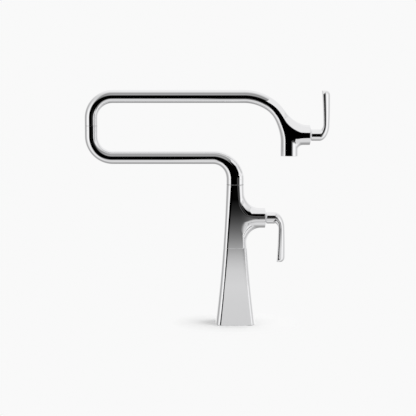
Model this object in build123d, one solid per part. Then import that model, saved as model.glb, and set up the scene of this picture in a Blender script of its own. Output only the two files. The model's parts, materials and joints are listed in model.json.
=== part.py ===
from build123d import *
from math import cos, pi, radians, sin, sqrt
import os

# A deck mount pot filler: a fixed tapered column with a valve in its side, and two tube arms that swivel
# on the column and on each other, with a second valve above the outlet at the far end.
# Millimetres. The origin is the centre of the foot on the deck, +Z is up, +X is the side of the levers.

os.makedirs("parts", exist_ok=True)

# Reach and heights
lower_reach = 243.5
upper_reach = 335.0
seam_height = 129.5
column_height = 236.2
main_valve_drop = 56.6
lower_arm_rise = 46.1
upper_arm_rise = 102.9
outlet_valve_drop = 65.0
outlet_below = 35.5

# Column outside
base_half = 32.9
neck_radius = 15.0
flare_curve = 0.66
base_corner_share = 0.33
seam_corner_share = 0.47
top_corner_share = 0.8
round_corner_share = 0.996
round_power = 1.6
edge_break = 0.4
foot_break = 1.0

# Base shell, plate and gasket
shell_wall = 3.0
shell_web = 5.0
pocket_depth = 6.0
gasket_thick = 1.6
gasket_width = 9.0
ledge_wall = 5.6

# Arms
tube_radius = 11.0
tube_wall = 1.2
elbow_bend = 36.0
column_bend = 37.4
outlet_bend = 76.5
outlet_radius = 15.0
elbow_stub = 9.7
elbow_ring_height = 7.5
spigot_length = 11.0
spigot_bore = 7.5
growth_start = 45.0
growth_end = 88.0
inner_lean = 1.5
lean_start = 35.0
lean_turn = 55.0

# Valve bosses
main_boss_radius = 16.75
main_boss_reach = 51.2
main_boss_fillet = 26.0
fillet_margin = 1.0
outlet_boss_radius = 16.8
outlet_boss_reach = 35.0
outlet_sweep_radius = 38.0
outlet_sweep_end = 31.0
outlet_corner_radius = 8.0
boss_root_depth = 9.0
boss_blend_lead = 3.0
corner_limit = 0.9
boss_edge = 1.2
edge_reach = 1.0
edge_slack = 0.05

# Valve cartridge, measured inwards from the end of its boss
cartridge_depth = 31.5
cartridge_radius = 9.2
chamber_radius = 10.6
flange_radius = 12.5
flange_depth = 16.0
bonnet_radius = 14.2
bonnet_depth = 6.0
bonnet_recess = 0.3
cartridge_neck = 7.0
disc_radius = 7.4
disc_bore_wall = 1.7
disc_thick = 3.0
disc_port = 2.3
disc_port_centre = 3.9
seal_height = 3.2
seal_bore = 4.6
seat_bore = 5.0
window_width = 6.0
window_length = 4.0
stem_radius = 3.9
stem_flange = 5.8
stem_flange_thick = 2.6
stem_reach = 14.5
stem_flat = 3.2
cage_floor = 1.0
spanner_hole = 1.2
tang_width = 2.4
tang_depth = 1.2
o_ring_wire = 0.75

# Lever
hub_gap = 0.4
hub_radius = 9.7
hub_round = 3.0
hub_length = 16.0
blade_offset = 25.9
blade_drop = 18.0
blade_tip = 74.8
blade_root_half = 7.6
blade_tip_half = 9.0
blade_inner = 0.6
blade_outer = 7.4
blade_tip_outer = 11.0
blade_lean = 2.7
lean_power = 1.5
lever_bore_depth = 15.5
lever_screw_place = 8.0
lever_screw_radius = 1.5
socket_share = 0.55

# Column swivel
post_thread = 12.0
post_radius = 10.0
post_bore = 6.0
post_engage = 16.0
post_length = 22.0
glide_thick = 0.55
glide_inset = 0.5
set_screw_radius = 2.0
set_screw_height = 5.5
set_screw_groove = 1.0
column_ring_wire = 1.2
column_ring_heights = (12.5, 17.5)

# Elbow swivel
elbow_spigot = 7.5
elbow_bore = 4.5
elbow_glide_thick = 0.3
elbow_screw_radius = 1.25
elbow_screw_height = 3.2
elbow_ring_wire = 0.9
elbow_ring_heights = (7.4, 10.8)
elbow_post_top = 12.6

# Aerator
aerator_radius = 12.0
aerator_wall = 1.4
aerator_recess = 1.2
aerator_height = 13.0
aerator_lip = 1.2
aerator_lip_width = 2.6
aerator_washer_thick = 2.0
mesh_hole = 0.85
mesh_pitch = 2.5
mesh_rings = 3
mesh_thick = 3.0
waterway_radius = 6.0
waterway_turn = 64.0
port_radius = 4.0

# Shank and the hardware under the deck
deck_thickness = 25.0
shank_radius = 16.0
shank_bore = 12.5
shank_below = 75.0
shank_engage = 23.0
deck_washer_radius = 27.0
rubber_thick = 3.0
steel_thick = 2.5
nut_radius = 25.0
nut_thick = 12.0
nut_flats = 8
jack_count = 3
jack_circle = 20.4
jack_radius = 2.5
jack_length = 17.0
jack_head_radius = 4.2
jack_head_height = 4.0
inlet_radius = 8.0
inlet_bore = 6.0
inlet_thread_radius = 10.4
inlet_thread_length = 16.0
inlet_below = 98.0
inlet_engage = 14.0
inlet_hex_thick = 5.0
inlet_hex_radius = 12.0

# Stations that the lofts pass through
shell_steps = 5
column_steps = 6
elbow_steps = 6
outlet_turns = (0, 15, 30, 45, 55, 65, 75, 90)
root_reaches = (-1.0, 3.0, 7.0, 11.0, 15.8)
boss_reaches = (15.8, 16.4, 17.2, 18.2, 19.4, 21.0, 23.0, 25.5, 28.2, 31.0)
lever_turns = (0, 15, 30, 45, 60, 75, 90)
blade_shares = (0.0, 0.3, 0.6, 0.86)
tip_rounding = ((0.86, 0.0), (0.94, 0.04), (0.975, 0.14), (1.0, 0.34))

# Clearances: a running fit turns, a seat fit is assembled once, and a face gap parts two moving faces
run_fit = 0.05
seat_fit = 0.02
face_gap = 0.05
screw_gap = 0.2

# Places that follow from the sizes above
main_valve_height = column_height - main_valve_drop
lower_arm_height = column_height + lower_arm_rise
upper_arm_height = lower_arm_height + upper_arm_rise
outlet_valve_height = upper_arm_height - outlet_valve_drop
outlet_bottom = outlet_valve_height - outlet_below
elbow_x = -lower_reach
outlet_x = upper_reach - lower_reach
elbow_low = lower_arm_height + elbow_bend + elbow_stub
elbow_seam = elbow_low + elbow_ring_height
elbow_high = elbow_seam + elbow_glide_thick + face_gap
arm_bottom = column_height + glide_thick + face_gap
column_bend_top = lower_arm_height - column_bend
outlet_bend_x = outlet_x - outlet_bend
outlet_bend_z = upper_arm_height - outlet_bend
main_boss_end = main_boss_reach
outlet_boss_end = outlet_x + outlet_boss_reach
tube_bore = tube_radius - tube_wall
plug_radius = tube_bore - seat_fit
aerator_top = outlet_bottom + aerator_recess + aerator_height + aerator_washer_thick
room_above = main_valve_drop - main_boss_radius - fillet_margin
room_below = main_valve_height - main_boss_radius - seam_height - fillet_margin
root_fillet = min(main_boss_fillet, room_above, room_below)
quarter_turn = 90
half_turn = 2 * quarter_turn


def write(shape, name):
    """Write one node."""
    export_step(shape, os.path.join("parts", name + ".step"))


def rod(radius, low, high):
    """A round bar on the Z axis from low to high."""
    return Pos(0, 0, low) * extrude(Circle(radius), high - low)


def ring(outer, inner, low, high):
    """A round tube on the Z axis."""
    return rod(outer, low, high) - rod(inner, low, high)


def bar_x(radius, start, stop, z=0.0):
    """A round bar along X at height z."""
    plane = Plane(origin=(start, 0, z), x_dir=(0, 1, 0), z_dir=(1, 0, 0))
    return plane * extrude(Circle(radius), stop - start)


def bar_y(radius, start, stop, x, z):
    """A round bar along Y at x and z."""
    plane = Plane(origin=(x, start, z), x_dir=(1, 0, 0), z_dir=(0, 1, 0))
    return plane * extrude(Circle(radius), stop - start)


def bar_between(radius, start, stop):
    """A round bar between two points."""
    axis = Vector(*stop) - Vector(*start)
    return Plane(origin=start, z_dir=axis) * extrude(Circle(radius), axis.length)


def smooth(share):
    """A smooth step from 0 to 1."""
    share = min(max(share, 0.0), 1.0)
    return share * share * (3 - 2 * share)


def o_ring(radius, wire, height):
    """A round rubber ring on the Z axis, outside radius given."""
    return Pos(0, 0, height) * Torus(radius - wire, wire)


def cut_groove(shape, radius, depth, middle, half):
    """A groove turned into a round bar on the Z axis."""
    return shape - ring(radius, radius - depth, middle - half, middle + half)


def flank(height):
    """Half the column's width at a height: a line and a parabola that flare to the foot."""
    left = 1 - height / column_height
    share = flare_curve * left * left + (1 - flare_curve) * left
    return neck_radius + (base_half - neck_radius) * share


def corner_share(height):
    """The corner radius as a share of the half width: a rounded square that gets rounder upwards."""
    if height <= seam_height:
        return base_corner_share + (seam_corner_share - base_corner_share) * height / seam_height
    up = (height - seam_height) / (column_height - seam_height)
    return seam_corner_share + (top_corner_share - seam_corner_share) * up ** round_power


def column_section(height, inset=0.0):
    """The column's outline at a height, drawn in by inset."""
    half = flank(height) - inset
    corner = max(flank(height) * corner_share(height) - inset, 1.0)
    return Pos(0, 0, height) * RectangleRounded(2 * half, 2 * half, corner)


def column_block(low, high, steps, inset=0.0):
    """The column's outline lofted between two heights."""
    return loft([column_section(low + (high - low) * i / steps, inset) for i in range(steps + 1)])


def edges_at(shape, height):
    """The level edges of a shape at a height."""
    def level(edge):
        box = edge.bounding_box()
        return max(abs(box.min.Z - height), abs(box.max.Z - height)) < edge_slack
    return [edge for edge in shape.edges() if level(edge)]


# The foot of the column


def make_base_shell():
    """The hollow lower cover, with a pocket for the plate and a web that the column stands on."""
    outside = column_block(0, seam_height, shell_steps)
    outside = chamfer(edges_at(outside, seam_height), edge_break)
    outside = chamfer(edges_at(outside, 0), foot_break)
    hollow = column_block(pocket_depth, seam_height - shell_web, shell_steps, shell_wall)
    ledge = column_block(pocket_depth, pocket_depth + shell_wall, 1, shell_wall)
    ledge -= column_block(pocket_depth, pocket_depth + shell_wall, 1, ledge_wall)
    side = 2 * (base_half - shell_wall)
    pocket = extrude(RectangleRounded(side, side, side / 2 * base_corner_share), pocket_depth)
    bore = rod(shank_radius + screw_gap, seam_height - shell_web, seam_height)
    return outside - (hollow - ledge) - pocket - bore


def make_base_plate():
    """The plate in the foot's pocket that centres the shank."""
    side = 2 * (base_half - shell_wall - screw_gap)
    outline = RectangleRounded(side, side, side / 2 * base_corner_share)
    plate = extrude(outline, pocket_depth - gasket_thick)
    return Pos(0, 0, gasket_thick) * plate - rod(shank_radius + screw_gap, 0, pocket_depth)


def make_base_gasket():
    """The soft ring under the plate."""
    half = base_half - shell_wall - screw_gap
    inner = half - gasket_width
    sheet = RectangleRounded(2 * half, 2 * half, half * base_corner_share)
    sheet -= RectangleRounded(2 * inner, 2 * inner, inner * base_corner_share)
    return extrude(sheet, gasket_thick)


# The column with its valve chamber


def cut_valve_chamber(body, end, axis_height):
    """The stepped bore that a cartridge screws into."""
    body -= bar_x(bonnet_radius + run_fit, end - bonnet_depth, end, axis_height)
    body -= bar_x(flange_radius + run_fit, end - flange_depth, end - bonnet_depth, axis_height)
    return body - bar_x(chamber_radius, end - cartridge_depth, end - flange_depth, axis_height)


def make_valve_column():
    """The upper column, its boss blended into the side, and its waterways."""
    body = column_block(seam_height, column_height, column_steps)
    body = chamfer(edges_at(body, seam_height), edge_break)
    body += bar_x(main_boss_radius, 0, main_boss_end, main_valve_height)

    def on_boss(point):
        reach = sqrt(point.Y ** 2 + (point.Z - main_valve_height) ** 2)
        return abs(reach - main_boss_radius) < edge_slack and point.X < main_boss_end - edge_reach

    root = [e for e in body.edges() if on_boss(e @ 0) and on_boss(e @ 0.5) and on_boss(e @ 1)]
    body = fillet(root, root_fillet)
    rim = [e for e in body.edges() if e.bounding_box().min.X > main_boss_end - edge_slack]
    body = fillet(rim, boss_edge)
    seat_x = main_boss_end - cartridge_depth
    socket_top = seam_height + shank_engage
    body -= rod(shank_radius + seat_fit, seam_height, socket_top)
    body -= rod(inlet_radius + seat_fit, socket_top, socket_top + inlet_engage)
    body -= rod(inlet_bore, socket_top + inlet_engage, main_valve_height)
    body -= bar_x(seat_bore, -seat_bore, seat_x, main_valve_height)
    body = cut_valve_chamber(body, main_boss_end, main_valve_height)
    socket_floor = column_height - post_engage
    body -= rod(post_thread + seat_fit, socket_floor, column_height)
    outlet_start = (seat_x + post_bore, 0, main_valve_height + post_bore)
    return body - bar_between(seat_bore, outlet_start, (0, 0, socket_floor + post_bore))


# The shank and what clamps it under the deck


def make_shank():
    """The threaded tube that ties the column down."""
    return ring(shank_radius, shank_bore, -shank_below, seam_height + shank_engage)


def make_rubber_washer():
    bottom = -deck_thickness - rubber_thick
    return ring(deck_washer_radius, shank_radius + screw_gap, bottom, -deck_thickness)


def make_steel_washer():
    top = -deck_thickness - rubber_thick
    return ring(deck_washer_radius, shank_radius + screw_gap, top - steel_thick, top)


def make_nut():
    """The clamping nut, with a threaded hole for each jack screw."""
    top = -deck_thickness - rubber_thick - steel_thick
    nut = extrude(RegularPolygon(nut_radius, nut_flats), nut_thick)
    nut = Pos(0, 0, top - nut_thick - screw_gap) * nut
    nut -= rod(shank_radius + seat_fit, top - 2 * nut_thick, top)
    for place in PolarLocations(jack_circle, jack_count):
        nut -= place * rod(jack_radius + seat_fit, top - 2 * nut_thick, top)
    return nut


def make_jack_screws():
    """The screws through the nut that press on the steel washer."""
    top = -deck_thickness - rubber_thick - steel_thick
    head = top - jack_length
    screw = rod(jack_radius, head, top) + rod(jack_head_radius, head - jack_head_height, head)
    socket = extrude(RegularPolygon(jack_radius, 6), jack_head_height / 2)
    screw -= Pos(0, 0, head - jack_head_height) * socket
    return Compound(children=[place * screw for place in PolarLocations(jack_circle, jack_count)])


def make_inlet():
    """The supply pipe inside the shank, with a threaded end and a hexagon to hold it by."""
    top = seam_height + shank_engage + inlet_engage
    pipe = rod(inlet_radius, -inlet_below, top)
    pipe += rod(inlet_thread_radius, -inlet_below, -inlet_below + inlet_thread_length)
    hexagon = extrude(RegularPolygon(inlet_hex_radius, 6), inlet_hex_thick)
    pipe += Pos(0, 0, -inlet_below + inlet_thread_length) * hexagon
    pipe -= rod(inlet_bore, -inlet_below, top)
    return cut_groove(pipe, inlet_radius, 2 * o_ring_wire, top - inlet_engage / 2, o_ring_wire)


def make_inlet_ring():
    groove = seam_height + shank_engage + inlet_engage / 2
    return o_ring(inlet_radius - seat_fit, o_ring_wire - seat_fit, groove)


# A valve cartridge, its lever and its nut, in the boss's own frame: X points out of the boss, 0 is its end


def make_cartridge_seal():
    top = -cartridge_depth + seal_height
    return bar_x(disc_radius - run_fit, -cartridge_depth, top) - bar_x(seal_bore, -cartridge_depth, top)


def ported_disc(start):
    """A ceramic disc with two round ports."""
    disc = bar_x(disc_radius, start, start + disc_thick)
    for side in (-1, 1):
        disc -= bar_x(disc_port, start, start + disc_thick, side * disc_port_centre)
    return disc


def make_fixed_disc():
    return ported_disc(-cartridge_depth + seal_height)


def make_moving_disc():
    """The turning disc, with a slot across it for the stem's tang."""
    start = -cartridge_depth + seal_height + disc_thick + face_gap
    disc = ported_disc(start)
    slot = Box(tang_depth, 3 * disc_radius, tang_width + 2 * seat_fit)
    return disc - Pos(start + disc_thick - tang_depth / 2, 0, 0) * slot


def make_cartridge_body():
    """The brass body: a windowed cage over the discs, a flange and a neck round the stem."""
    cage_start = -cartridge_depth + disc_bore_wall
    bore = disc_radius + run_fit
    cavity_end = -flange_depth - cage_floor
    body = bar_x(cartridge_radius, cage_start, -flange_depth)
    body += bar_x(flange_radius, -flange_depth, -bonnet_depth)
    body += bar_x(cartridge_neck, -bonnet_depth, -bonnet_recess)
    body -= bar_x(bore, cage_start, cavity_end)
    body -= bar_x(stem_radius + run_fit, cavity_end, 0)
    window = Box(window_length, 3 * cartridge_radius, window_width)
    middle = Pos(cavity_end - window_length / 2, 0, 0)
    return body - middle * window - middle * Rot(quarter_turn, 0, 0) * window


def make_stem():
    """The turning stem: a flange with a tang, a groove for its ring, and a flat for the lever's screw."""
    base = -cartridge_depth + seal_height + 2 * disc_thick + face_gap
    stem = bar_x(stem_flange, base, base + stem_flange_thick)
    stem += bar_x(stem_radius, base, stem_reach)
    depth = tang_depth - seat_fit
    tang = Box(depth, 2 * stem_flange, tang_width) & bar_x(stem_flange, -depth, depth)
    stem += Pos(base - depth / 2, 0, 0) * tang
    groove = -(flange_depth + bonnet_depth) / 2
    core = bar_x(stem_radius - 2 * o_ring_wire, groove - o_ring_wire, groove + o_ring_wire)
    stem -= bar_x(stem_radius, groove - o_ring_wire, groove + o_ring_wire) - core
    flat = Box(stem_reach, 3 * stem_radius, stem_radius)
    return stem - Pos(hub_gap + stem_reach / 2, 0, -stem_flat - stem_radius / 2) * flat


def make_stem_ring():
    groove = -(flange_depth + bonnet_depth) / 2
    wire = o_ring_wire - seat_fit
    return Pos(groove, 0, 0) * Rot(0, quarter_turn, 0) * Torus(stem_radius - o_ring_wire, wire)


def make_bonnet():
    """The round nut in the boss's mouth that holds the cartridge."""
    nut = bar_x(bonnet_radius, -bonnet_depth, -bonnet_recess)
    nut -= bar_x(cartridge_neck + run_fit, -bonnet_depth, 0)
    middle = (bonnet_radius + cartridge_neck) / 2
    for side in (-1, 1):
        nut -= Pos(0, side * middle, 0) * bar_x(spanner_hole, -bonnet_depth / 2, 0)
    return nut


def blade_section(x, z, turn, half, inner, outer):
    """The lever's section, square to its path: two half ellipses of unlike depth that share their width."""
    lean = radians(quarter_turn - turn)
    plane = Plane(origin=(x, 0, z), x_dir=(cos(lean), 0, sin(lean)), z_dir=(sin(lean), 0, -cos(lean)))
    outline = EllipticalCenterArc((0, 0), outer, half, -quarter_turn, arc_size=half_turn)
    outline += EllipticalCenterArc((0, 0), inner, half, quarter_turn, arc_size=half_turn)
    return plane * make_face(outline)


def bend_section(turn):
    """The section at a turn of the bend between the round hub and the flat blade."""
    x = hub_length + (blade_offset - hub_length) * sin(radians(turn))
    z = -blade_drop * (1 - cos(radians(turn)))
    part = smooth(turn / quarter_turn)
    half = hub_radius + (blade_root_half - hub_radius) * part
    inner = hub_radius + (blade_inner - hub_radius) * part
    outer = hub_radius + (blade_outer - hub_radius) * part
    return blade_section(x, z, turn, half, inner, outer)


def straight_section(share, round_off=0.0):
    """The section at a share of the blade's length."""
    z = -blade_drop - (blade_tip - blade_drop) * share
    half = (blade_root_half + (blade_tip_half - blade_root_half) * share) * (1 - round_off)
    outer = (blade_outer + (blade_tip_outer - blade_outer) * share) * (1 - round_off)
    x = blade_offset - blade_lean * share ** lean_power
    return blade_section(x, z, quarter_turn, half, blade_inner, outer)


def make_lever():
    """The round hub, the bend and the crowned blade."""
    lever = bar_x(hub_radius, hub_gap, hub_length)
    start = [e for e in lever.edges() if e.bounding_box().max.X < hub_gap + edge_slack]
    lever = fillet(start, hub_round)
    lever += loft([bend_section(turn) for turn in lever_turns])
    lever += loft([straight_section(share) for share in blade_shares])
    lever += loft([straight_section(share, round_off) for share, round_off in tip_rounding])
    lever -= bar_x(stem_radius + seat_fit, hub_gap, lever_bore_depth)
    return lever - Pos(lever_screw_place, 0, 0) * rod(lever_screw_radius + seat_fit, -2 * hub_radius, 0)


def make_lever_screw():
    """The grub screw under the hub that bears on the stem's flat."""
    top = -stem_flat - seat_fit
    bottom = top - hub_radius * socket_share
    socket = extrude(RegularPolygon(lever_screw_radius * socket_share, 6), lever_screw_radius)
    screw = rod(lever_screw_radius, bottom, top) - Pos(0, 0, bottom) * socket
    return Pos(lever_screw_place, 0, 0) * screw


# The swivel on top of the column


def make_column_post():
    """The hollow post that the lower arm turns on."""
    top = column_height + post_length
    bottom = column_height - post_engage
    post = rod(post_thread, bottom, column_height) + rod(post_radius, column_height, top)
    post -= rod(post_bore, bottom, top)
    for height in column_ring_heights:
        place = column_height + height
        post = cut_groove(post, post_radius, 2 * column_ring_wire, place, column_ring_wire)
    place = arm_bottom + set_screw_height
    return cut_groove(post, post_radius, set_screw_groove, place, set_screw_radius + screw_gap)


def make_column_rings():
    wire = column_ring_wire - seat_fit
    return Compound(children=[o_ring(post_radius, wire, column_height + h) for h in column_ring_heights])


def make_column_glide():
    top = column_height + glide_thick
    return ring(neck_radius - glide_inset, post_radius + seat_fit, column_height, top)


def make_swivel_elbow():
    """The cast elbow that turns on the column and tapers to the round tube."""
    def outline(turn):
        part = smooth(turn / quarter_turn)
        half = neck_radius + (tube_radius - neck_radius) * part
        share = top_corner_share + (round_corner_share - top_corner_share) * part
        return RectangleRounded(2 * half, 2 * half, half * share)

    def section(turn):
        angle = radians(turn)
        x = -column_bend * (1 - cos(angle))
        z = column_bend_top + column_bend * sin(angle)
        plane = Plane(origin=(x, 0, z), x_dir=(0, 1, 0), z_dir=(-sin(angle), 0, cos(angle)))
        return plane * outline(turn)

    body = loft([section(quarter_turn * i / elbow_steps) for i in range(elbow_steps + 1)])
    body += Pos(0, 0, arm_bottom) * extrude(outline(0), column_bend_top - arm_bottom)
    body = chamfer(edges_at(body, arm_bottom), edge_break / 2)
    body += bar_x(plug_radius, -column_bend - spigot_length, -column_bend, lower_arm_height)
    bend = CenterArc((0, 0), column_bend, 0, quarter_turn)
    bend = Plane(origin=(-column_bend, 0, column_bend_top), x_dir=(1, 0, 0), z_dir=(0, -1, 0)) * bend
    body -= sweep(Plane(origin=bend @ 0, z_dir=bend % 0) * Circle(spigot_bore), bend)
    body -= bar_x(spigot_bore, -column_bend - spigot_length, -column_bend, lower_arm_height)
    body -= rod(post_radius + run_fit, arm_bottom, column_height + post_length + screw_gap)
    hole_height = arm_bottom + set_screw_height
    return body - bar_y(set_screw_radius + seat_fit, 0, 2 * neck_radius, 0, hole_height)


def make_column_screw():
    """The grub screw at the back that keeps the arm on its post."""
    tip = post_radius - set_screw_groove + screw_gap
    head = neck_radius - screw_gap
    height = arm_bottom + set_screw_height
    screw = bar_y(set_screw_radius, tip, head, 0, height)
    socket = extrude(RegularPolygon(set_screw_radius * socket_share, 6), set_screw_radius)
    return screw - Plane(origin=(0, head, height), x_dir=(1, 0, 0), z_dir=(0, -1, 0)) * socket


# The tubes and the elbow swivel


def bent_tube(points, bend):
    """A tube along a path in the plane of the arms, with one bend."""
    path = FilletPolyline(*points, radius=bend)
    wall = Circle(tube_radius) - Circle(tube_bore)
    return sweep(Plane(origin=path @ 0, z_dir=path % 0) * wall, path)


def make_lower_tube():
    start = (-column_bend, 0, lower_arm_height)
    corner = (elbow_x, 0, lower_arm_height)
    return bent_tube([start, corner, (elbow_x, 0, elbow_low)], elbow_bend)


def make_upper_tube():
    start = (outlet_bend_x, 0, upper_arm_height)
    corner = (elbow_x, 0, upper_arm_height)
    tube = bent_tube([start, corner, (elbow_x, 0, elbow_high)], elbow_bend)
    hole_height = elbow_high + elbow_screw_height
    return tube - bar_y(elbow_screw_radius + seat_fit, 0, 2 * tube_radius, elbow_x, hole_height)


def make_elbow_post():
    """The hollow post brazed into the lower tube, which the upper arm turns on."""
    top = elbow_high + elbow_post_top
    post = rod(plug_radius, elbow_low - elbow_stub, elbow_low) + rod(elbow_spigot, elbow_low, top)
    post -= rod(elbow_bore, elbow_low - elbow_stub, top)
    for height in elbow_ring_heights:
        place = elbow_high + height
        post = cut_groove(post, elbow_spigot, 2 * elbow_ring_wire, place, elbow_ring_wire)
    place = elbow_high + elbow_screw_height
    post = cut_groove(post, elbow_spigot, set_screw_groove, place, elbow_screw_radius + screw_gap)
    return Pos(elbow_x, 0, 0) * post


def make_elbow_rings():
    wire = elbow_ring_wire - seat_fit
    rings = [o_ring(elbow_spigot, wire, elbow_high + h) for h in elbow_ring_heights]
    return Compound(children=[Pos(elbow_x, 0, 0) * r for r in rings])


def make_elbow_collar():
    """The ring that shows between the two tubes."""
    collar = rod(tube_radius, elbow_low, elbow_seam)
    collar = chamfer(edges_at(collar, elbow_low) + edges_at(collar, elbow_seam), edge_break)
    return Pos(elbow_x, 0, 0) * (collar - rod(elbow_spigot + seat_fit, elbow_low, elbow_seam))


def make_elbow_glide():
    top = elbow_seam + elbow_glide_thick
    return Pos(elbow_x, 0, 0) * ring(tube_radius - glide_inset, elbow_spigot + seat_fit, elbow_seam, top)


def make_elbow_socket():
    """The sleeve in the upper tube's end that turns on the post."""
    top = upper_arm_height - elbow_bend
    sleeve = ring(plug_radius, elbow_spigot + run_fit, elbow_high, top)
    hole_height = elbow_high + elbow_screw_height
    sleeve -= bar_y(elbow_screw_radius + seat_fit, 0, 2 * tube_radius, 0, hole_height)
    return Pos(elbow_x, 0, 0) * sleeve


def make_elbow_screw():
    tip = elbow_spigot - set_screw_groove + screw_gap
    head = tube_radius - screw_gap
    height = elbow_high + elbow_screw_height
    screw = bar_y(elbow_screw_radius, tip, head, elbow_x, height)
    socket = extrude(RegularPolygon(elbow_screw_radius * socket_share, 6), elbow_screw_radius)
    return screw - Plane(origin=(elbow_x, head, height), x_dir=(1, 0, 0), z_dir=(0, -1, 0)) * socket


# The outlet end of the upper arm


def arm_section(turn):
    """The outlet bend's section: it leans inwards and grows from the tube to the outlet."""
    growth = smooth((turn - growth_start) / (growth_end - growth_start))
    radius = tube_radius + (outlet_radius - tube_radius) * growth
    reach = outlet_bend - inner_lean * sin(pi * smooth((turn - lean_start) / lean_turn))
    angle = radians(turn)
    x = outlet_bend_x + reach * sin(angle)
    z = outlet_bend_z + reach * cos(angle)
    return Plane(origin=(x, 0, z), x_dir=(0, 1, 0), z_dir=(cos(angle), 0, -sin(angle))) * Circle(radius)


def boss_section(reach):
    """The outlet boss's section at a distance from the outlet's axis, with its sweep and its corner."""
    level = outlet_boss_radius
    along = max(outlet_sweep_end - reach, 0)
    rise = outlet_sweep_radius - sqrt(outlet_sweep_radius ** 2 - along ** 2)
    corner_start = outlet_radius + outlet_corner_radius
    back = min(max(corner_start - reach, 0), corner_limit * outlet_corner_radius)
    drop = outlet_corner_radius - sqrt(outlet_corner_radius ** 2 - back ** 2)
    growth = smooth((reach + boss_blend_lead) / (corner_start + boss_blend_lead))
    half = boss_root_depth + (level - boss_root_depth) * growth
    outline = EllipticalCenterArc((0, 0), half, level + rise, 0, arc_size=half_turn)
    outline += EllipticalCenterArc((0, 0), half, level + drop, half_turn, arc_size=half_turn)
    plane = Plane(origin=(outlet_x + reach, 0, outlet_valve_height), x_dir=(0, 1, 0), z_dir=(1, 0, 0))
    return plane * make_face(outline)


def make_outlet_body():
    """The cast end of the upper arm: the bend, the outlet, and the valve boss that grows out of them."""
    body = loft([arm_section(turn) for turn in outlet_turns])
    body += Pos(outlet_x, 0, 0) * rod(outlet_radius, outlet_bottom, outlet_bend_z)
    body += loft([boss_section(reach) for reach in root_reaches])
    body += loft([boss_section(reach) for reach in boss_reaches])
    mouth = bar_x(outlet_boss_radius, outlet_x + outlet_sweep_end, outlet_boss_end, outlet_valve_height)
    rim = [e for e in mouth.edges() if e.bounding_box().min.X > outlet_boss_end - edge_slack]
    body += fillet(rim, boss_edge)
    body += bar_x(plug_radius, outlet_bend_x - spigot_length, outlet_bend_x, upper_arm_height)
    path = CenterArc((0, 0), outlet_bend, quarter_turn - waterway_turn, waterway_turn)
    path = Plane(origin=(outlet_bend_x, 0, outlet_bend_z), x_dir=(1, 0, 0), z_dir=(0, -1, 0)) * path
    body -= sweep(Plane(origin=path @ 0, z_dir=path % 0) * Circle(waterway_radius), path)
    body -= bar_x(waterway_radius, outlet_bend_x - spigot_length, outlet_bend_x, upper_arm_height)
    seat_x = outlet_boss_end - cartridge_depth
    turn_x = seat_x - waterway_radius - seat_bore / 2
    low = (turn_x, 0, outlet_valve_height - seat_bore / 2)
    body -= bar_between(seat_bore, tuple(path @ 0), low)
    body -= bar_x(seat_bore, turn_x, seat_x, outlet_valve_height)
    body = cut_valve_chamber(body, outlet_boss_end, outlet_valve_height)
    body -= Pos(outlet_x, 0, 0) * rod(aerator_radius + seat_fit, outlet_bottom, aerator_top)
    return body - Pos(seat_x + waterway_radius, 0, 0) * rod(port_radius, aerator_top, outlet_valve_height)


def make_aerator_housing():
    """The threaded cup in the outlet, with a lip that holds the insert."""
    low = outlet_bottom + aerator_recess
    cup = ring(aerator_radius, aerator_radius - aerator_wall, low, low + aerator_height)
    cup += ring(aerator_radius, aerator_radius - aerator_lip_width, low, low + aerator_lip)
    return Pos(outlet_x, 0, 0) * cup


def make_aerator_insert():
    """The plastic insert, a disc of straight holes that the water leaves by."""
    low = outlet_bottom + aerator_recess + aerator_lip
    insert = rod(aerator_radius - aerator_wall - seat_fit, low, low + aerator_height - aerator_lip)
    insert -= rod(aerator_radius - 2 * aerator_wall, low + mesh_thick, low + aerator_height)
    for row in range(-mesh_rings, mesh_rings + 1):
        for step in range(2 * mesh_rings + 1 - abs(row)):
            x = (step - mesh_rings + abs(row) / 2) * mesh_pitch
            y = row * mesh_pitch * sqrt(3) / 2
            insert -= Pos(x, y, 0) * rod(mesh_hole, low, low + mesh_thick)
    return Pos(outlet_x, 0, 0) * insert


def make_aerator_washer():
    low = aerator_top - aerator_washer_thick
    return Pos(outlet_x, 0, 0) * ring(aerator_radius, aerator_radius - 2 * aerator_wall, low, aerator_top)


write(make_base_shell(), "base_shell")
write(make_base_plate(), "base_plate")
write(make_base_gasket(), "base_gasket")
write(make_valve_column(), "valve_column")
write(make_shank(), "mounting_shank")
write(make_rubber_washer(), "deck_rubber_washer")
write(make_steel_washer(), "deck_steel_washer")
write(make_nut(), "mounting_nut")
write(make_jack_screws(), "jack_screws")
write(make_inlet(), "inlet_pipe")
write(make_inlet_ring(), "inlet_o_ring")
write(make_column_post(), "column_post")
write(make_column_rings(), "column_o_rings")
write(make_column_glide(), "column_glide_ring")
write(make_swivel_elbow(), "swivel_elbow")
write(make_column_screw(), "column_retaining_screw")
write(make_lower_tube(), "lower_arm_tube")
write(make_elbow_post(), "elbow_post")
write(make_elbow_rings(), "elbow_o_rings")
write(make_elbow_collar(), "elbow_ring")
write(make_elbow_glide(), "elbow_glide_ring")
write(make_upper_tube(), "upper_arm_tube")
write(make_elbow_socket(), "elbow_socket")
write(make_elbow_screw(), "elbow_retaining_screw")
write(make_outlet_body(), "outlet_body")
write(make_aerator_housing(), "aerator_housing")
write(make_aerator_insert(), "aerator_insert")
write(make_aerator_washer(), "aerator_washer")

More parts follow.
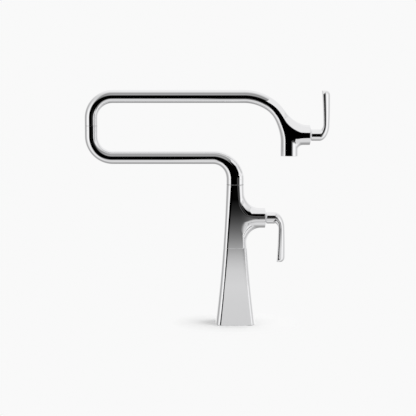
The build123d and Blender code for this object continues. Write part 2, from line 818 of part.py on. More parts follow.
main_place = Pos(main_boss_end, 0, main_valve_height)
outlet_place = Pos(outlet_boss_end, 0, outlet_valve_height) * Rot(half_turn, 0, 0)
for side, place in (("main", main_place), ("outlet", outlet_place)):
    write(place * make_cartridge_body(), side + "_cartridge_body")
    write(place * make_cartridge_seal(), side + "_cartridge_seal")
    write(place * make_fixed_disc(), side + "_fixed_disc")
    write(place * make_bonnet(), side + "_bonnet_nut")
    write(place * make_moving_disc(), side + "_moving_disc")
    write(place * make_stem(), side + "_stem")
    write(place * make_stem_ring(), side + "_stem_o_ring")
    write(place * make_lever(), side + "_lever")
    write(place * make_lever_screw(), side + "_lever_screw")
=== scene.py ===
import json
import math

import bpy
import bmesh
import numpy as np
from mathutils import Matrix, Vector


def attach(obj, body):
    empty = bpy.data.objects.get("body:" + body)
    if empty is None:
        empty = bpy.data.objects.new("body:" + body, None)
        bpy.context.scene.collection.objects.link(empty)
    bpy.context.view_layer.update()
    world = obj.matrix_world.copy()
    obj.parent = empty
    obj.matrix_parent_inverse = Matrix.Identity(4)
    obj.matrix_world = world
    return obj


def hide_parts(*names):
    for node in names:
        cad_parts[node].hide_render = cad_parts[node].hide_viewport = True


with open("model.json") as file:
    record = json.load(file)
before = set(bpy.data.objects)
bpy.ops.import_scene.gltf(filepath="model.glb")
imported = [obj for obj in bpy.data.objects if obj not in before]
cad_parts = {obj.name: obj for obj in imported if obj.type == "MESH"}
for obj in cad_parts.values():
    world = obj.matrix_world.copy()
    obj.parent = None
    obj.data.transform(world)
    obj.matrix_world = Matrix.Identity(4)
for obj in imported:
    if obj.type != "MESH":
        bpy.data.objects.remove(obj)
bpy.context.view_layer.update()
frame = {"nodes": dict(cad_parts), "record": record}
nodes = frame["nodes"]
scene = bpy.context.scene
# A millimetre in metres, and a size that counts as nothing
MILLIMETRE, TINY = 0.001, 1e-6

# Camera: straight from the front, a little above the object
AIM = Vector((-0.0461, 0.0, 0.1965))
DISTANCE = 2.0
ELEVATION = math.radians(4.5)
camera_data = bpy.data.cameras.new("camera")
camera_data.lens = 101.8
camera_data.sensor_width = 36.0
camera_data.clip_end = 30.0
camera = bpy.data.objects.new("camera", camera_data)
scene.collection.objects.link(camera)
camera.location = AIM + DISTANCE * Vector((0.0, -math.cos(ELEVATION), math.sin(ELEVATION)))
camera.rotation_euler = (math.pi / 2 - ELEVATION, 0.0, 0.0)
scene.camera = camera

# The colour sockets of a mix node
MIX_FIRST, MIX_SECOND, MIX_RESULT = 6, 7, 2


class Nodes:
    """A node tree with short ways to add to it."""

    def __init__(self, tree):
        self.tree = tree
        tree.nodes.clear()

    def add(self, kind, **inputs):
        """A node, with its inputs set to values or linked to sockets."""
        node = self.tree.nodes.new(kind)
        for name, value in inputs.items():
            self.put(node.inputs[name.replace("_", " ")], value)
        return node

    def put(self, socket, value):
        """Sets an input, or links it."""
        if isinstance(value, bpy.types.NodeSocket):
            self.tree.links.new(value, socket)
        else:
            socket.default_value = value

    def math(self, operation, *values):
        """The result of a math node."""
        node = self.tree.nodes.new("ShaderNodeMath")
        node.operation = operation
        for socket, value in zip(node.inputs, values):
            self.put(socket, value)
        return node.outputs[0]

    def ramp(self, value, stops):
        """A brightness that runs straight between (value, brightness) stops."""
        low, high = stops[0][0], stops[-1][0]
        node = self.tree.nodes.new("ShaderNodeValToRGB")
        elements = node.color_ramp.elements
        while len(elements) > 1:
            elements.remove(elements[-1])
        for index, (place, level) in enumerate(stops):
            share = (place - low) / (high - low)
            element = elements[0] if index == 0 else elements.new(share)
            element.position = share
            element.color = (level, level, level, 1.0)
        self.put(node.inputs["Fac"], self.math("DIVIDE", self.math("SUBTRACT", value, low), high - low))
        return node.outputs["Color"]

    def blend(self, share, first, second):
        """first where share is 0, second where it is 1."""
        node = self.tree.nodes.new("ShaderNodeMix")
        node.data_type = "RGBA"
        self.put(node.inputs["Factor"], share)
        self.put(node.inputs[MIX_FIRST], first)
        self.put(node.inputs[MIX_SECOND], second)
        return node.outputs[MIX_RESULT]


def new_material(name):
    """An empty node material with its output."""
    material = bpy.data.materials.new(name)
    material.use_nodes = True
    kit = Nodes(material.node_tree)
    return material, kit, kit.add("ShaderNodeOutputMaterial")


# The fineness of the polish, and of the grain and its depth
POLISH_SCALE, GRAIN_SCALE, GRAIN_DEPTH = 60.0, 900.0, 0.0001


def make_metal(name, color, roughness, scratch):
    """A metal with a faint unevenness in its polish."""
    material, kit, output = new_material(name)
    where = kit.add("ShaderNodeTexCoord")
    noise = kit.add("ShaderNodeTexNoise", Vector=where.outputs["Object"], Scale=POLISH_SCALE)
    spread = kit.add("ShaderNodeMapRange", Value=noise.outputs["Fac"], To_Min=roughness,
                     To_Max=roughness + scratch)
    shader = kit.add("ShaderNodeBsdfPrincipled", Base_Color=(*color, 1.0), Metallic=1.0,
                     Roughness=spread.outputs["Result"])
    kit.put(output.inputs["Surface"], shader.outputs["BSDF"])
    return material


def make_plain(name, color, roughness, grain):
    """A plastic, rubber or ceramic with a faint grain."""
    material, kit, output = new_material(name)
    where = kit.add("ShaderNodeTexCoord")
    noise = kit.add("ShaderNodeTexNoise", Vector=where.outputs["Object"], Scale=GRAIN_SCALE)
    bump = kit.add("ShaderNodeBump", Height=noise.outputs["Fac"], Strength=grain,
                   Distance=GRAIN_DEPTH)
    shader = kit.add("ShaderNodeBsdfPrincipled", Base_Color=(*color, 1.0), Roughness=roughness,
                     Normal=bump.outputs["Normal"])
    kit.put(output.inputs["Surface"], shader.outputs["BSDF"])
    return material


# The looks of each slot: (name, colour, roughness, the polish's unevenness or the grain's strength)
finishes = {
    "chrome": make_metal("chrome", (0.95, 0.95, 0.96), 0.03, 0.003),
    "brass": make_metal("brass", (0.78, 0.57, 0.22), 0.22, 0.1),
    "steel": make_metal("steel", (0.62, 0.62, 0.63), 0.28, 0.08),
    "rubber": make_plain("rubber", (0.02, 0.02, 0.02), 0.6, 0.2),
    "acetal": make_plain("acetal", (0.8, 0.8, 0.78), 0.45, 0.1),
    "ceramic": make_plain("ceramic", (0.86, 0.85, 0.8), 0.2, 0.0),
}
slot_of = {part["node"]: part["material_slot"] for part in frame["record"]["subparts"]}
for name, node in nodes.items():
    node.data.materials.clear()
    node.data.materials.append(finishes[slot_of[name]])

# The two glide rings that show in the seams are of a dark acetal
dark_acetal = make_plain("dark_acetal", (0.03, 0.03, 0.03), 0.4, 0.1)
for name in ("column_glide_ring", "elbow_glide_ring"):
    nodes[name].data.materials[0] = dark_acetal

# Shapes that the solids hold in plainer form: two cast bodies and the levers, in millimetres

# The column's half widths at its top and foot, the curved share of its flare, and its ends' heights
NECK, FOOT, FLARE, TOP, SEAM = 15.0, 32.9, 0.66, 236.2, 129.5
# Its corner radius in half widths: at the seam, what it gains up to the top, and the power of that
CORNER, CORNER_GAIN, CORNER_POWER = 0.47, 0.33, 1.6
# The main boss: its axis's height, its end, its radius and its fillet
MAIN_VALVE, MAIN_END, MAIN_BOSS, MAIN_FILLET = 179.6, 51.2, 16.75, 26.0
# The outlet's axis, and its boss's height, end and radius
OUTLET_X, OUTLET_VALVE, OUTLET_END, OUTLET_BOSS = 91.5, 320.2, 126.5, 16.8
# How far beside the axis a body's depth starts to turn into its boss's, and over how long
TURN_START, MAIN_RUN, OUTLET_RUN = 6.0, 30.0, 24.0
# The outlet's bend: its radius and centre, the tube's radius, and the outlet's lower end
BEND, BEND_X, BEND_Z, TUBE, OUTLET_LOW = 76.5, 15.0, 308.7, 11.0, 284.7
# Where the bend draws inwards and over how long, in degrees, and by how much
WAIST_START, WAIST_RUN, WAIST_DEPTH = 35.0, 55.0, 1.5
# Where the bend widens from the tube to the outlet, and over how long, in degrees
SWELL_START, SWELL_RUN = 45.0, 43.0
# The outlet's two fillets, and how each fillet's radius changes inwards
SWEEP_ABOVE, CORNER_BELOW = 21.0, 8.0
UPPER_GROWTH, LOWER_GROWTH, CORNER_GROWTH, SWEEP_GROWTH = 0.9, 1.5, 0.2, 0.2
# Rounds of work on the points, the share of an evening move, and the step that a slope is taken over
JOIN_ROUNDS, EVEN_ROUNDS, EVEN_SHARE, SLOPE_STEP = 6, 6, 0.6, 0.01
# The least squared slope, how near to a cut counts as on it, and how near two points count as one
LEAST_SLOPE, ON_CUT, SAME_POINT = 1e-9, 1e-3, 1e-4


def smooth(share):
    """A smooth step from 0 to 1."""
    share = np.clip(share, 0.0, 1.0)
    return share * share * (3 - 2 * share)


def flank(z):
    """Half the column's width at a height."""
    left = 1 - z / TOP
    return NECK + (FOOT - NECK) * (FLARE * left * left + (1 - FLARE) * left)


def column_corner(z):
    """The column's corner radius at a height."""
    up = np.clip((z - SEAM) / (TOP - SEAM), 0.0, 1.0)
    return flank(z) * (CORNER + CORNER_GAIN * up ** CORNER_POWER)


def join(a, b, radius, growth):
    """Two outlines as one: a round fillet of this radius between them, which changes by growth inwards."""
    level = np.minimum(a, b)
    for _ in range(JOIN_ROUNDS):
        bend = radius + (growth + 1) * np.minimum(level, 0)
        near = np.hypot(np.maximum(bend - a, 0), np.maximum(bend - b, 0))
        level = (level + np.maximum(bend, np.minimum(a, b)) - near) / 2
    return level


def pillow(outline, y, depth, corner):
    """A body of this outline, flat in front and behind, with its edges rounded by a corner radius."""
    side, front = outline + corner, np.abs(y) - (depth - corner)
    beyond = np.hypot(np.maximum(side, 0), np.maximum(front, 0))
    return beyond + np.minimum(np.maximum(side, front), 0) - corner


def column_field(p):
    """Below 0 inside the upper column and its boss."""
    x, y, z = p.T
    side = x - flank(z)
    above = join(side, z - MAIN_VALVE - MAIN_BOSS, MAIN_FILLET, UPPER_GROWTH)
    below = join(side, MAIN_VALVE - MAIN_BOSS - z, MAIN_FILLET, LOWER_GROWTH)
    outline = np.maximum(np.maximum(above, below), -x - flank(z))
    part = smooth((x - TURN_START) / MAIN_RUN)
    depth = flank(z) + (MAIN_BOSS - flank(z)) * part
    corner = column_corner(z) + (MAIN_BOSS - column_corner(z)) * part
    return pillow(outline, y, depth, corner)


def outlet_field(p):
    """Below 0 inside the outlet body and its boss."""
    x, y, z = p.T
    turn = np.degrees(np.arctan2(x - BEND_X, z - BEND_Z))
    reach = BEND - WAIST_DEPTH * np.sin(math.pi * smooth((turn - WAIST_START) / WAIST_RUN))
    in_bend = (x >= BEND_X) & (z >= BEND_Z)
    half = np.where(x < BEND_X, TUBE, NECK)
    half = np.where(in_bend, TUBE + (NECK - TUBE) * smooth((turn - SWELL_START) / SWELL_RUN), half)
    outwards = np.where(x < BEND_X, z - BEND_Z - BEND, x - OUTLET_X)
    outwards = np.where(in_bend, np.hypot(x - BEND_X, z - BEND_Z) - reach, outwards)
    above = join(outwards - half, z - OUTLET_VALVE - OUTLET_BOSS, SWEEP_ABOVE, SWEEP_GROWTH)
    below = join(outwards - half, OUTLET_VALVE - OUTLET_BOSS - z, CORNER_BELOW, CORNER_GROWTH)
    outline = np.maximum(np.maximum(above, below), -outwards - half)
    part = smooth((x - OUTLET_X - TURN_START) / OUTLET_RUN)
    depth = half + (OUTLET_BOSS - half) * part
    return pillow(outline, y, depth, depth)


def gradient(field, points):
    """The field's slope at each point."""
    slope = np.empty_like(points)
    for axis in range(3):
        shift = np.zeros(3)
        shift[axis] = SLOPE_STEP
        slope[:, axis] = (field(points + shift) - field(points - shift)) / (2 * SLOPE_STEP)
    return slope


def settle(field, points, rounds=4):
    """The points moved onto the field's zero surface."""
    for _ in range(rounds):
        slope = gradient(field, points)
        steepness = np.maximum((slope ** 2).sum(1), LEAST_SLOPE)
        points = points - slope * (field(points) / steepness)[:, None]
    return points


def contour(field, low, high, step):
    """Points and quads of the field's zero surface: one point in each cell of a grid that it crosses."""
    axes = [np.arange(a, b + step, step) for a, b in zip(low, high)]
    grid = np.stack(np.meshgrid(*axes, indexing="ij"), -1)
    values = field(grid.reshape(-1, 3)).reshape(grid.shape[:3])
    inside = values < 0
    corners = [inside[i:i - 1 or None, j:j - 1 or None, k:k - 1 or None]
               for i in (0, 1) for j in (0, 1) for k in (0, 1)]
    count = sum(c.astype(int) for c in corners)
    cells = np.argwhere((count > 0) & (count < 8))
    index = np.full(count.shape, -1)
    index[tuple(cells.T)] = np.arange(len(cells))
    total, number = np.zeros((len(cells), 3)), np.zeros(len(cells))
    quads = []
    for axis in range(3):
        unit = np.eye(3, dtype=int)[axis]
        first, second = np.eye(3, dtype=int)[(axis + 1) % 3], np.eye(3, dtype=int)[(axis + 2) % 3]
        for offset in (0 * first, first, second, first + second):
            start = cells + offset
            a, b = values[tuple(start.T)], values[tuple((start + unit).T)]
            hit = (a < 0) != (b < 0)
            share = (a / np.where(hit, a - b, 1))[:, None]
            place = grid[tuple(start.T)] * (1 - share) + grid[tuple((start + unit).T)] * share
            total[hit] += place[hit]
            number[hit] += 1
        shape = np.array(values.shape)
        edges = np.argwhere(np.diff(inside.astype(int), axis=axis) != 0)
        inner = np.all([(edges[:, other] > 0) & (edges[:, other] < shape[other] - 1)
                        for other in range(3) if other != axis], axis=0)
        edges = edges[inner]
        ring = [index[tuple((edges - a * first - b * second).T)] for a, b in ((1, 1), (0, 1), (0, 0), (1, 0))]
        ring = np.stack(ring, 1)
        outward = inside[tuple(edges.T)]
        quads.append(np.where(outward[:, None], ring, ring[:, ::-1]))
    return total / number[:, None], np.concatenate(quads)


def even_out(field, points, quads):
    """The points spread more evenly over the surface."""
    for _ in range(EVEN_ROUNDS):
        middles = points[quads].mean(1)
        total, number = np.zeros_like(points), np.zeros(len(points))
        for corner in range(4):
            np.add.at(total, quads[:, corner], middles)
            np.add.at(number, quads[:, corner], 1)
        points = points + EVEN_SHARE * (total / number[:, None] - points)
        points = settle(field, points, 2)
    return settle(field, points)


def ordered_loop(edges):
    """The vertices along a closed run of edges."""
    links = {}
    for edge in edges:
        a, b = edge.verts
        links.setdefault(a, []).append(b)
        links.setdefault(b, []).append(a)
    loop = [next(iter(links))]
    loop.append(links[loop[0]][0])
    while True:
        after = [v for v in links[loop[-1]] if v is not loop[-2]][0]
        if after is loop[0]:
            return loop
        loop.append(after)


def strip(bm, layers, near, far, near_normals, far_normals, sense):
    """Faces between two rings, with the shading normal of each ring."""
    for i in range(len(near)):
        j = (i + 1) % len(near)
        corners = [(near[i], near_normals[i]), (near[j], near_normals[j]), (far[j], far_normals[j]),
                   (far[i], far_normals[i])]
        corners = corners if sense else corners[::-1]
        face = bm.faces.new([v for v, _ in corners])
        layers[face] = [n for _, n in corners]


def close_end(bm, layers, field, centre, axis, edge, steps, bore):
    """An end's rounded edge, its flat face and its stepped bore, which a list of (radius, depth) gives."""
    centre, axis = Vector(centre), Vector(axis)
    cut = (centre - axis * edge).dot(axis)
    border = [e for e in bm.edges if e.is_boundary
              and all(abs(v.co.dot(axis) - cut) < ON_CUT for v in e.verts)]
    loop = ordered_loop(border)
    around = [((v.co - centre) - axis * (v.co - centre).dot(axis)).normalized() for v in loop]
    slopes = [Vector(row) for row in gradient(field, np.array([v.co[:] for v in loop]))]
    outward = [(n - axis * n.dot(axis)).normalized() for n in slopes]
    sense = (loop[1].co - loop[0].co).cross(around[0]).dot(axis) < 0
    start = [v.co.copy() for v in loop]
    near, near_normals = loop, [n.normalized() for n in slopes]
    for step in range(1, steps + 1):
        angle = math.pi / 2 * step / steps
        far = [bm.verts.new(p + axis * edge * math.sin(angle) - n * edge * (1 - math.cos(angle)))
               for p, n in zip(start, outward)]
        far_normals = [n * math.cos(angle) + axis * math.sin(angle) for n in outward]
        strip(bm, layers, near, far, near_normals, far_normals, sense)
        near, near_normals = far, far_normals
    last = 0.0
    for radius, depth in bore:
        far = [bm.verts.new(centre + u * radius - axis * depth) for u in around]
        flat = abs(depth - last) < TINY
        normals = [axis] * len(loop) if flat else [-u for u in around]
        strip(bm, layers, near, far, normals, normals, sense)
        near, last = far, depth
    tip = bm.verts.new(centre - axis * last)
    for i in range(len(near)):
        j = (i + 1) % len(near)
        corners = [near[i], near[j], tip]
        face = bm.faces.new(corners if sense else corners[::-1])
        layers[face] = [axis] * 3


def make_shell(name, field, low, high, step, ends):
    """A closed mesh of a field, cut square at ends of (centre, axis, edge radius, edge steps, bore)."""
    points, quads = contour(field, low, high, step)
    points = even_out(field, points, quads)
    bm = bmesh.new()
    verts = [bm.verts.new(p) for p in points]
    for quad in quads:
        bm.faces.new([verts[i] for i in quad])
    for centre, axis, edge, *_ in ends:
        axis = Vector(axis)
        bmesh.ops.bisect_plane(bm, geom=bm.verts[:] + bm.edges[:] + bm.faces[:], dist=SAME_POINT,
                               plane_co=Vector(centre) - axis * edge, plane_no=axis, clear_outer=True)
    skin = list(bm.verts)
    slopes = [Vector(row).normalized() for row in gradient(field, np.array([v.co[:] for v in skin]))]
    normal_of = dict(zip(skin, slopes))
    layers = {face: [normal_of[v] for v in face.verts] for face in bm.faces}
    for end in ends:
        close_end(bm, layers, field, *end)
    for vert in bm.verts:
        vert.co *= MILLIMETRE
    bm.faces.index_update()
    normals = [None] * len(bm.faces)
    for face in bm.faces:
        face.smooth = True
        normals[face.index] = layers[face]
    mesh = bpy.data.meshes.new(name)
    bm.to_mesh(mesh)
    bm.free()
    mesh.normals_split_custom_set([n[:] for face in normals for n in face])
    piece = bpy.data.objects.new(name, mesh)
    scene.collection.objects.link(piece)
    return piece


# Bores as (radius, depth): a cartridge's, the column's at its seam and top, the bend's, and the outlet's
CHAMBER = [(14.25, 0), (14.25, 6), (12.55, 6), (12.55, 16), (10.6, 16), (10.6, 31.5)]
SEAM_BORE = [(16.02, 0), (16.02, 23), (8.02, 23), (8.02, 37)]
TOP_BORE = [(12.02, 0), (12.02, 16)]
SOCKET_BORE = [(9.78, 0), (9.78, -11)]
MOUTH_BORE = [(12.02, 0), (12.02, 15)]
# The rounded edges of the ends, as (radius, steps)
BOSS_EDGE, SEAM_EDGE, TOP_EDGE, SOCKET_EDGE, MOUTH_EDGE = (1.2, 5), (0.15, 2), (0.25, 2), (0.02, 1), (0.5, 2)
# The grids' steps and half widths, and the room that they leave at the ends and round the bend
COLUMN_STEP, COLUMN_HALF, OUTLET_STEP, OUTLET_HALF, ROOM, BEND_ROOM = 0.9, 27, 0.8, 19, 4, 15
column_piece = make_shell(
    "valve_column_casting", column_field, (-COLUMN_HALF, -COLUMN_HALF, SEAM - ROOM),
    (MAIN_END + ROOM, COLUMN_HALF, TOP + ROOM), COLUMN_STEP,
    [((0, 0, SEAM), (0, 0, -1), *SEAM_EDGE, SEAM_BORE),
     ((0, 0, TOP), (0, 0, 1), *TOP_EDGE, TOP_BORE),
     ((MAIN_END, 0, MAIN_VALVE), (1, 0, 0), *BOSS_EDGE, CHAMBER)])
outlet_piece = make_shell(
    "outlet_casting", outlet_field, (BEND_X - ROOM, -OUTLET_HALF, OUTLET_LOW - ROOM),
    (OUTLET_END + ROOM, OUTLET_HALF, BEND_Z + BEND + BEND_ROOM), OUTLET_STEP,
    [((BEND_X, 0, BEND_Z + BEND), (-1, 0, 0), *SOCKET_EDGE, SOCKET_BORE),
     ((OUTLET_X, 0, OUTLET_LOW), (0, 0, -1), *MOUTH_EDGE, MOUTH_BORE),
     ((OUTLET_END, 0, OUTLET_VALVE), (1, 0, 0), *BOSS_EDGE, CHAMBER)])

# The levers: a round hub, a bend, and a crowned blade whose front edge is tighter than its back

# The hub's gap to the boss, its radius, its end, its rounded edge, and the stem's bore
HUB_GAP, HUB, HUB_LENGTH, HUB_ROUND, LEVER_BORE, BORE_DEPTH = 0.4, 9.7, 16.0, 3.0, 3.92, 15.5
# The blade's place, where it starts and ends below the hub's axis, and how far and how curved it leans back
BLADE_PLACE, BLADE_DROP, BLADE_TIP, BLADE_LEAN, LEAN_POWER = 23.9, 18.0, 74.8, 2.7, 1.5
# The blade's half widths at root and tip, and its depths on the inner side and, at root and tip, on the outer
ROOT_HALF, TIP_HALF, INNER, OUTER, TIP_OUTER = 7.6, 9.0, 2.0, 9.2, 12.4
# The blade's rounded end: the share of its length where it starts, how much it narrows, and its power
END_START, END_NARROW, END_POWER = 0.86, 0.34, 2.6
# How crowned the outer side is, how small the bore's closed end is drawn, and the angle of a sharp edge
CROWN, BORE_TIP, SHARP = 1.3, 0.02, math.radians(40)
# Points round a section, and sections along each part
AROUND, ROUND_STEPS, HUB_STEPS, BEND_STEPS, BLADE_STEPS = 96, 8, 8, 30, 40


def lever_ring(x, z, turn, half, inner, outer, crown=1.0):
    """A section square to the lever's path: two half ellipses of unlike depth, the outer one crowned."""
    lean = math.radians(90 - turn)
    ring = []
    for step in range(AROUND):
        angle = 2 * math.pi * step / AROUND
        across = math.cos(angle)
        beside = math.sin(angle)
        if across > 0:
            beside = math.copysign(abs(beside) ** crown, beside)
        across *= outer if across > 0 else inner
        ring.append((x + across * math.cos(lean), half * beside, z + across * math.sin(lean)))
    return ring


def round_ring(x, radius):
    """A round section of the hub."""
    return lever_ring(x, 0, 0, radius, radius, radius)


def lever_rings():
    """All the lever's sections from the bore, over the hub and the bend, to the blade's tip."""
    rings = [round_ring(BORE_DEPTH, LEVER_BORE * BORE_TIP), round_ring(BORE_DEPTH, LEVER_BORE),
             round_ring(HUB_GAP, LEVER_BORE)]
    for step in range(ROUND_STEPS + 1):
        angle = math.pi / 2 * step / ROUND_STEPS
        radius = HUB - HUB_ROUND * (1 - math.sin(angle))
        rings.append(round_ring(HUB_GAP + HUB_ROUND * (1 - math.cos(angle)), radius))
    start = HUB_GAP + HUB_ROUND
    rings += [round_ring(start + (HUB_LENGTH - start) * step / HUB_STEPS, HUB)
              for step in range(1, HUB_STEPS)]
    for step in range(BEND_STEPS + 1):
        turn = 90 * step / BEND_STEPS
        part = float(smooth(turn / 90))
        x = HUB_LENGTH + (BLADE_PLACE - HUB_LENGTH) * math.sin(math.radians(turn))
        z = -BLADE_DROP * (1 - math.cos(math.radians(turn)))
        rings.append(lever_ring(x, z, turn, HUB + (ROOT_HALF - HUB) * part, HUB + (INNER - HUB) * part,
                                HUB + (OUTER - HUB) * part, 1 + (CROWN - 1) * part))
    for step in range(1, BLADE_STEPS + 1):
        share = step / BLADE_STEPS
        end = max(share - END_START, 0) / (1 - END_START)
        narrow = 1 - END_NARROW * end ** END_POWER
        z = -BLADE_DROP - (BLADE_TIP - BLADE_DROP) * share
        rings.append(lever_ring(BLADE_PLACE - BLADE_LEAN * share ** LEAN_POWER, z, 90,
                                (ROOT_HALF + (TIP_HALF - ROOT_HALF) * share) * narrow, INNER,
                                (OUTER + (TIP_OUTER - OUTER) * share) * narrow, CROWN))
    return rings


def make_lever(name, x, z, stands):
    """A lever whose hub starts at a boss's end, and whose blade hangs or stands."""
    bm = bmesh.new()
    way = -1.0 if stands else 1.0
    place = Vector((x, 0, z)) * MILLIMETRE
    rows = [[bm.verts.new(Vector((along, way * across, way * up)) * MILLIMETRE + place)
             for along, across, up in ring] for ring in lever_rings()]
    for near, far in zip(rows, rows[1:]):
        for i in range(AROUND):
            j = (i + 1) % AROUND
            bm.faces.new((near[j], near[i], far[i], far[j]))
    bm.faces.new(rows[0])
    bm.faces.new(rows[-1][::-1])
    bmesh.ops.recalc_face_normals(bm, faces=bm.faces[:])
    for face in bm.faces:
        face.smooth = True
    for edge in bm.edges:
        edge.smooth = len(edge.link_faces) < 2 or edge.calc_face_angle() < SHARP
    mesh = bpy.data.meshes.new(name)
    bm.to_mesh(mesh)
    bm.free()
    piece = bpy.data.objects.new(name, mesh)
    scene.collection.objects.link(piece)
    return piece


main_lever = make_lever("main_lever_blade", MAIN_END, MAIN_VALVE, False)
outlet_lever = make_lever("outlet_lever_blade", OUTLET_END, OUTLET_VALVE, True)
pieces = [(column_piece, "valve_column", "column"), (outlet_piece, "outlet_body", "upper_arm"),
          (main_lever, "main_lever", "main_handle"), (outlet_lever, "outlet_lever", "outlet_handle")]
for piece, node, body in pieces:
    piece.data.materials.append(finishes["chrome"])
    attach(piece, body)
    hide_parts(node)

# Studio: a pale background, and the screens and dark cards round the object that the chrome reflects
BACKGROUND = 0.947
DEGREES = 180.0 / math.pi
# (degrees from the front, to the right; brightness), for directions near the horizon
ROUND = [(-180, 0.9), (-155, 0.9), (-140, 0.58), (-126, 0.44), (-103, 0.38), (-92, 0.5), (-78, 0.76),
         (-62, 1.0), (-41, 1.0), (-31, 0.0), (0, 0.0), (18, 0.02), (34, 0.08), (42, 0.55), (52, 1.0),
         (66, 1.0), (81, 0.86), (98, 0.62), (110, 0.6), (125, 0.8), (150, 0.95), (180, 0.9)]
# (degrees from the front, over the top; brightness), for directions near the middle plane
RISE = [(-180, 0.95), (-165, 0.9), (-145, 0.3), (-118, 0.34), (-100, 0.4), (-84, 0.68), (-65, 0.74),
        (-50, 0.7), (-33, 0.0), (17, 0.0), (24, 0.3), (30, 0.42), (42, 0.36), (55, 0.3), (65, 0.45),
        (78, 0.62), (95, 0.86), (115, 0.9), (150, 0.85), (180, 0.95)]
world = bpy.data.worlds.new("studio")
scene.world = world
world.use_nodes = True
kit = Nodes(world.node_tree)
where = kit.add("ShaderNodeTexCoord")
split = kit.add("ShaderNodeSeparateXYZ", Vector=where.outputs["Generated"])
side, back, up = split.outputs
ahead = kit.math("MULTIPLY", back, -1.0)
level_turn = kit.math("MULTIPLY", kit.math("ARCTAN2", side, ahead), DEGREES)
over_turn = kit.math("MULTIPLY", kit.math("ARCTAN2", up, ahead), DEGREES)
side_squared = kit.math("MULTIPLY", side, side)
up_squared = kit.math("MULTIPLY", up, up)
both_squared = kit.math("ADD", kit.math("ADD", side_squared, up_squared), TINY)
steep = kit.math("DIVIDE", up_squared, both_squared)
glow = kit.blend(steep, kit.ramp(level_turn, ROUND), kit.ramp(over_turn, RISE))
seen = kit.add("ShaderNodeLightPath").outputs["Is Camera Ray"]
sky_color = kit.blend(seen, glow, (BACKGROUND, BACKGROUND, BACKGROUND, 1.0))
sky = kit.add("ShaderNodeBackground", Color=sky_color)
kit.put(kit.add("ShaderNodeOutputWorld").inputs["Surface"], sky.outputs["Background"])


def make_stage(name, corners, material):
    """A flat four-cornered piece of the studio."""
    mesh = bpy.data.meshes.new(name)
    mesh.from_pydata(corners, [], [(0, 1, 2, 3)])
    mesh.materials.append(material)
    stage = bpy.data.objects.new(name, mesh)
    scene.collection.objects.link(stage)
    return stage


def make_screen(name, corners, light):
    """A screen that only the chrome sees, with its brightness by height or the same all over."""
    material, kit, output = new_material(name)
    if isinstance(light, list):
        where = kit.add("ShaderNodeTexCoord")
        height = kit.add("ShaderNodeSeparateXYZ", Vector=where.outputs["Object"]).outputs["Z"]
        light = kit.ramp(height, light)
    else:
        light = (light, light, light, 1.0)
    glowing = kit.add("ShaderNodeEmission", Color=light)
    kit.put(output.inputs["Surface"], glowing.outputs["Emission"])
    screen = make_stage(name, corners, material)
    screen.visible_camera = False
    screen.visible_diffuse = False
    screen.visible_shadow = False


# A pale screen low in front of the column, whose light runs out upwards: (height, brightness)
FRONT = [(0.0, 0.64), (0.052, 0.66), (0.076, 0.68), (0.1, 0.64), (0.113, 0.56), (0.1245, 0.468),
         (0.1325, 0.385), (0.1405, 0.317), (0.1515, 0.223), (0.164, 0.14), (0.177, 0.074), (0.188, 0.035),
         (0.196, 0.0185), (0.213, 0.0)]
# Where the screens and cards stand in front of the object, and the heights where the screen's parts end
SCREEN_Y, BEHIND_Y, CARD_Y, FAR_CARD_Y, LEVER_CARD_Y = -0.22, -0.225, -0.19, -0.6, -0.035
SPLIT, RIGHT_TOP, SCREEN_TOP = 0.088, 0.166, 0.213
# Upright ones: (name, y, the low edge's (height, left, right), the same of the high edge, brightness)
UPRIGHT = [
    # The screen in three parts, and a dim one at its right edge
    ("front_screen_low", SCREEN_Y, (0.0, -0.1, 0.4), (SPLIT, -0.117, 0.4), FRONT),
    ("front_screen_high", SCREEN_Y, (SPLIT, -0.105, 0.06), (SCREEN_TOP, -0.026, 0.036), FRONT),
    ("front_screen_right", BEHIND_Y, (SPLIT, 0.05, 0.4), (RIGHT_TOP, 0.05, 0.4), FRONT),
    ("side_screen", BEHIND_Y, (RIGHT_TOP, 0.025, 0.062), (0.25, 0.025, 0.062), 0.07),
    # Dark cards: two to the left, one before the bosses, and one before the main lever
    ("left_card", FAR_CARD_Y, (-0.16, -0.61, -0.27), (0.55, -0.61, -0.27), 0.0),
    ("outlet_card", CARD_Y, (0.262, -0.2, -0.1), (0.335, -0.2, -0.1), 0.0),
    ("boss_card", CARD_Y, (0.255, 0.03, 0.17), (0.41, 0.03, 0.17), 0.0),
    ("lever_card", LEVER_CARD_Y, (0.07, 0.069, 0.084), (0.165, 0.069, 0.084), 0.0),
]
for name, y, (low, low_left, low_right), (high, high_left, high_right), light in UPRIGHT:
    corners = [(low_left, y, low), (low_right, y, low), (high_right, y, high), (high_left, y, high)]
    make_screen(name, corners, light)
# Level pale cards close above the bosses, and low on the right: (name, z, left, right, near, far, brightness)
LEVEL = [("top_card", 0.42, 0.082, 0.17, CARD_Y, 0.03, 0.85),
         ("middle_card", 0.26, 0.03, 0.08, -0.063, 0.01, 0.85),
         ("low_card", 0.24, 0.1, 0.17, -0.123, -0.03, 0.72)]
for name, z, left, right, near, far, light in LEVEL:
    make_screen(name, [(left, near, z), (right, near, z), (right, far, z), (left, far, z)], light)

# A pale floor that takes the object's soft shadow and runs into the background

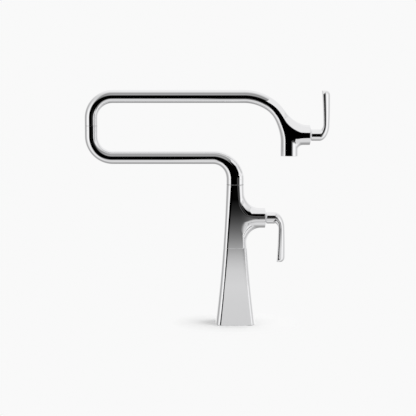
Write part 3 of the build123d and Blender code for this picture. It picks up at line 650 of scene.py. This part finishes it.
# Its half width, its faint glow, its paleness, and between which distances it turns into background
FLOOR_HALF, FLOOR_GLOW, FLOOR_PALE, FADE_START, FADE_END = 2.0, 0.15, 0.8, 0.045, 0.11
floor_material, kit, output = new_material("floor")
where = kit.add("ShaderNodeTexCoord")
away = kit.tree.nodes.new("ShaderNodeVectorMath")
away.operation = "LENGTH"
kit.put(away.inputs[0], where.outputs["Object"])
share = kit.add("ShaderNodeMapRange", Value=away.outputs["Value"], From_Min=FADE_START, From_Max=FADE_END)
matt = kit.add("ShaderNodeBsdfDiffuse", Color=(FLOOR_PALE, FLOOR_PALE, FLOOR_PALE, 1.0))
lit = kit.add("ShaderNodeEmission", Color=(FLOOR_GLOW, FLOOR_GLOW, FLOOR_GLOW, 1.0))
near_floor = kit.tree.nodes.new("ShaderNodeAddShader")
kit.put(near_floor.inputs[0], matt.outputs["BSDF"])
kit.put(near_floor.inputs[1], lit.outputs["Emission"])
far_floor = kit.add("ShaderNodeEmission", Color=(BACKGROUND, BACKGROUND, BACKGROUND, 1.0))
mixed = kit.tree.nodes.new("ShaderNodeMixShader")
kit.put(mixed.inputs[0], share.outputs["Result"])
kit.put(mixed.inputs[1], near_floor.outputs["Shader"])
kit.put(mixed.inputs[2], far_floor.outputs["Emission"])
kit.put(output.inputs["Surface"], mixed.outputs["Shader"])
floor_corners = [(x * FLOOR_HALF, y * FLOOR_HALF, 0.0) for x, y in ((-1, -1), (1, -1), (1, 1), (-1, 1))]
floor = make_stage("floor", floor_corners, floor_material)
floor.visible_glossy = False

# A soft lamp high on the right, which puts the foot's shadow on its left
lamp_data = bpy.data.lights.new("lamp", "AREA")
lamp_data.shape = "DISK"
lamp_data.size = 0.9
lamp_data.energy = 10.0
lamp = bpy.data.objects.new("lamp", lamp_data)
scene.collection.objects.link(lamp)
lamp.location = (0.64, -0.05, 1.37)
lamp.rotation_euler = (-lamp.location).to_track_quat("-Z", "Y").to_euler()
lamp.visible_glossy = False

scene.view_settings.view_transform = "Standard"
